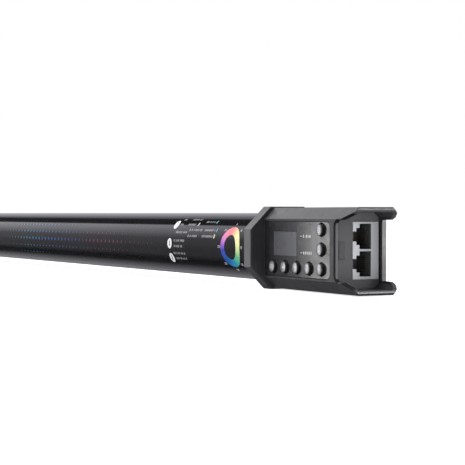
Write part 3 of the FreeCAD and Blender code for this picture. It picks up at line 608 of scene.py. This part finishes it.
def print_text_rows():
    """Rows of small print, as (degrees, start, length in mm), and a coloured mark beside some of them."""
    beside_badges = [
        (22.8, -104.0, 17.0), (7.0, -104.2, 17.0), (-3.5, -104.0, 13.4),
        (-16.8, -105.9, 19.0), (-27.0, -104.8, 17.8),
    ]
    before_ring = [
        (51.5, -103.0, 4.8), (52.0, -91.0, 15.0), (46.0, -68.7, 12.8),
        (38.9, -102.7, 6.0), (39.3, -91.3, 12.3), (27.8, -85.5, 18.0),
        (28.1, -64.2, 14.5), (16.3, -85.5, 14.0), (16.5, -65.7, 14.6),
    ]
    rows = []
    for degrees, start, length in beside_badges + before_ring:
        rows += words(length * MM, ROW_HEIGHT, start * MM, arc(degrees))
    printed("text_rows", rows, ink("ink_pale", (0.27, 0.27, 0.28)), on_tube)
    marks = {
        "cyan": (46.0, -54.6, (0.16, 0.42, 0.5)),
        "white": (40.2, -77.1, (0.7, 0.7, 0.7)),
        "blue": (28.4, -48.1, (0.12, 0.28, 0.55)),
        "cream": (16.6, -48.9, (0.72, 0.7, 0.5)),
    }
    upright = turned(bar(MARK_LENGTH, MARK_WIDTH), 90)
    for colour, (degrees, start, tint) in marks.items():
        mark = moved(upright, start * MM, arc(degrees) - MARK_LENGTH / 2)
        printed(f"text_mark_{colour}", [mark], ink(f"ink_{colour}", tint), on_tube)


def print_dots():
    """Rows of dots that fade in and out along the tube, as (degrees, first dot, size in mm). The middle
    row begins nearest the head."""
    rows = ((15.8, 6, 1.5), (-0.4, 0, 2.0), (-17.4, 6, 1.2), (32.8, 18, 1.4), (-34, 24, 1.2))
    last = int((DOTS_REACH + DOTS_START) / DOTS_PITCH)
    shapes = []
    for degrees, first, size in rows:
        for step in range(first, last + 1):
            fade_in = min(1.0, 0.35 + 0.08 * (step - first))
            fade_out = min(1.0, 0.3 + 0.1 * (last - step))
            dot = disc(size / 2 * fade_in * fade_out * MM, 14)
            shapes.append(moved(dot, DOTS_START - step * DOTS_PITCH, arc(degrees)))
    printed("dot_rows", shapes, dot_material(), on_tube)


def print_panel():
    """Small generic labels beside the upper two keys of the right-hand column. Each is a dash and a row
    of small print, as (key, drop below the key's middle, length in mm)."""
    labels = (("key_power", 3.5, 9.7), ("key_lock", 2.05, 11.8))
    key_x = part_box("key_power")[0].x
    shapes = []
    for key, drop, length in labels:
        low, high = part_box(key)
        z = (low.z + high.z) / 2 - drop * MM
        shapes.append(moved(bar(DASH_LENGTH, DASH_WIDTH), key_x - DASH_GAP, z))
        shapes += words(length * MM, LABEL_HEIGHT, key_x - LABEL_GAP, z)
    printed("panel_labels", shapes, ink("ink_panel_label", (0.5, 0.5, 0.5)), on_panel)


def key_icons():
    """The shapes of each key's icon, about the key's centre."""
    arrow = polygon([(-0.9 * MM, -1.1 * MM), (1.2 * MM, 0), (-0.9 * MM, 1.1 * MM)])
    line = moved(bar(2.6 * MM, ICON_STROKE), -1.3 * MM, 0)
    shackle = ring(0.75 * MM, 1.15 * MM, 10, sweep=180)
    padlock_body = moved(bar(2.6 * MM, 1.4 * MM), -1.3 * MM, -0.75 * MM)
    power_ring = ring(1.05 * MM, 1.45 * MM, 20, start=120, sweep=300)
    power_stroke = moved(turned(bar(1.6 * MM, ICON_STROKE), 90), 0, 0.1 * MM)
    return {
        "menu": [moved(line, 0, up * MM) for up in (0.9, 0, -0.9)],
        "left": [turned(arrow, 180)],
        "down": [turned(arrow, -90)],
        "up": [turned(arrow, 90)],
        "right": [arrow],
        "lock": [shackle, padlock_body],
        "power": [power_ring, power_stroke],
    }


def print_key_icons():
    """A raised silver-white icon on each key, which rides with it."""
    white = ink("ink_key_icon", (0.55, 0.55, 0.55), roughness=0.25)
    for name, shapes in key_icons().items():
        low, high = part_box(f"key_{name}")
        placed = [moved(shape, (low.x + high.x) / 2, (low.z + high.z) / 2) for shape in shapes]
        printed(f"key_icon_{name}", placed, white, lambda u, v, front=low.y: on_panel(u, v, front),
                body=f"{name}_key")


# ---------------------------------------------------------------- studio

CAMERA_TURN, CAMERA_RISE = math.radians(63.3), math.radians(0.77)
CAMERA_DISTANCE, CAMERA_LENS, CAMERA_SENSOR = 0.8578, 111.8, 36
STUDIO_TINT = (0.98, 0.98, 1.06)
FLOOR_HALF = 20


def from_head(x, y, z):
    """A place in mm from the middle of the head's inner end."""
    return Vector((SHELL_LOW.x + x * MM, y * MM, z * MM))


def make_camera():
    """The photo's view: turned from the panel towards the sockets, and a little above the tube's axis."""
    data = bpy.data.cameras.new("camera")
    data.lens, data.sensor_width = CAMERA_LENS, CAMERA_SENSOR
    data.clip_start, data.clip_end = 0.01, 50
    camera = bpy.data.objects.new("camera", data)
    away = Vector((
        math.sin(CAMERA_TURN) * math.cos(CAMERA_RISE),
        -math.cos(CAMERA_TURN) * math.cos(CAMERA_RISE),
        math.sin(CAMERA_RISE),
    ))
    camera.location = from_head(-69.7, 0, 7.5) + away * CAMERA_DISTANCE
    camera.rotation_mode = "QUATERNION"
    camera.rotation_quaternion = (-away).to_track_quat("-Z", "Y")
    bpy.context.scene.collection.objects.link(camera)
    bpy.context.scene.camera = camera


def studio_round_tube():
    """Ramp stops for the light round the tube, from degrees: 0 is straight in front, 90 above, -90 below
    and 180 behind. In front it brightens upwards to a sharp edge, and overhead it is dark."""
    brightness = {
        -180: 0.18, -164: 0.20, -150: 0.28, -132: 0.38, -116: 0.32, -100: 0.24, -80: 0.04, -60: 0.035,
        -40: 0.17, -20: 0.18, 0: 0.27, 20: 0.31, 40: 0.68, 60: 0.93, 73: 1.0,
        77: 0.04, 104: 0.04, 110: 0.26, 118: 0.42, 140: 0.66, 160: 0.56, 180: 0.55,
    }
    return [
        ((degrees + 180) / 360, tuple(grey * tint for tint in STUDIO_TINT))
        for degrees, grey in brightness.items()
    ]


def remap(world, value, low, high, low_to=0.0, high_to=1.0, ease="LINEAR"):
    """The value's run from low to high, turned into a run from low_to to high_to."""
    node = world.add("ShaderNodeMapRange", interpolation_type=ease)
    for socket, amount in zip(node.inputs, (value, low, high, low_to, high_to)):
        world.give(socket, amount)
    return node.outputs["Result"]


def make_world():
    """White to the camera. To the object it is a studio of long soft boxes parallel to the tube, and
    past the head's end it is bright below and dim above."""
    data = bpy.data.worlds.new("studio")
    data.use_nodes = True
    bpy.context.scene.world = data
    world = Nodes(data.node_tree)
    x, y, z = world.axes(world.add("ShaderNodeTexCoord").outputs["Generated"])
    turn = world.maths("ARCTAN2", z, world.maths("MULTIPLY", y, -1))
    boxes = world.ramp(remap(world, turn, -math.pi, math.pi), studio_round_tube())
    beyond_end = remap(world, x, 0.45, 0.75)
    below_to_above = remap(world, z, -0.25, 0.3, 0.9, 0.12, ease="SMOOTHSTEP")
    studio = world.mix(beyond_end, boxes, below_to_above)
    to_camera = world.add("ShaderNodeLightPath").outputs["Is Camera Ray"]
    background = world.tree.nodes["Background"]
    world.give(background.inputs["Color"], world.mix(to_camera, studio, (1, 1, 1)))


def area_light(name, place, target, size, power, only=(), skip=()):
    """A soft box, size in mm, at place and facing target. It lights just the CAD nodes in only, or all but
    those in skip, as if flags stood between it and the rest."""
    data = bpy.data.lights.new(name, "AREA")
    data.shape = "RECTANGLE"
    data.size, data.size_y = [side * MM for side in size]
    data.energy = power
    lamp = bpy.data.objects.new(name, data)
    lamp.location = place
    lamp.rotation_mode = "QUATERNION"
    lamp.rotation_quaternion = (target - place).to_track_quat("-Z", "Y")
    lamp.visible_camera = False
    bpy.context.scene.collection.objects.link(lamp)
    if only or skip:
        linked = bpy.data.collections.new(f"{name}_linked")
        for node in only or skip:
            linked.objects.link(nodes[node])
        for member in linked.collection_objects:
            member.light_linking.link_state = "INCLUDE" if only else "EXCLUDE"
        lamp.light_linking.receiver_collection = linked


def make_lights():
    head = from_head(31.8, 0, 0)
    area_light("key_softbox", from_head(-130, -550, 850), head, (900, 500), 12)
    area_light("side_softbox", from_head(470, 900, 350), head, (500, 500), 4, skip=("socket_bezel",))
    strip, panel = from_head(-36.4, -76.1, 0), from_head(67, -15, 0)
    area_light("panel_strip", strip, panel, (20, 60), 0.022, only=("face_plate", "display_lens", *KEYS))
    area_light("rim_strip", strip, panel, (20, 60), 0.0073, only=("head_shell",))
    area_light("head_softbox", from_head(-830, -50, 450), head, (500, 400), 0.8,
               only=("head_shell", "head_collar"))
    area_light("end_softbox", from_head(356, 150, 45), from_head(88, 0, 0), (150, 100), 0.85,
               only=("head_shell",))
    area_light("collar_strip", from_head(-230, -140, 0), from_head(-8.2, -20, 0), (150, 300), 0.2,
               only=("head_collar",))
    sockets = Vector((SOCKET_HIGH.x, SOCKET_LOW.y, (SOCKET_LOW.z + SOCKET_HIGH.z) / 2))
    area_light("socket_strip", sockets + Vector((11, -11, 0)) * MM, sockets + Vector((0, 4, 0)) * MM,
               (6, 40), 0.006, only=("socket_bezel",))


def make_floor():
    """A wide pale floor under the collars."""
    mesh = bpy.data.meshes.new("floor")
    corners = [(x * FLOOR_HALF, y * FLOOR_HALF, FLOOR_Z) for x, y in ((-1, -1), (1, -1), (1, 1), (-1, 1))]
    mesh.from_pydata(corners, [], [(0, 1, 2, 3)])
    floor = bpy.data.objects.new("floor", mesh)
    bpy.context.scene.collection.objects.link(floor)
    s = Shader("floor_pale", (0.9, 0.9, 0.9), 0.7, Emission_Color=(1, 1, 1))
    to_camera = s.add("ShaderNodeLightPath").outputs["Is Camera Ray"]
    s.feed(
        Base_Color=s.ramp(s.noise(0.4, detail=2), [(0.3, 0.88), (0.7, 0.92)]),
        Emission_Strength=s.maths("MULTIPLY", to_camera, 0.8),
    )
    mesh.materials.append(s.material)
    floor.visible_glossy = False


paint_outside()
paint_inside()
print_hue_ring()
print_badges()
print_text_rows()
print_dots()
print_panel()
print_key_icons()
make_camera()
make_world()
make_lights()
make_floor()
bpy.context.scene.view_settings.view_transform = "Standard"
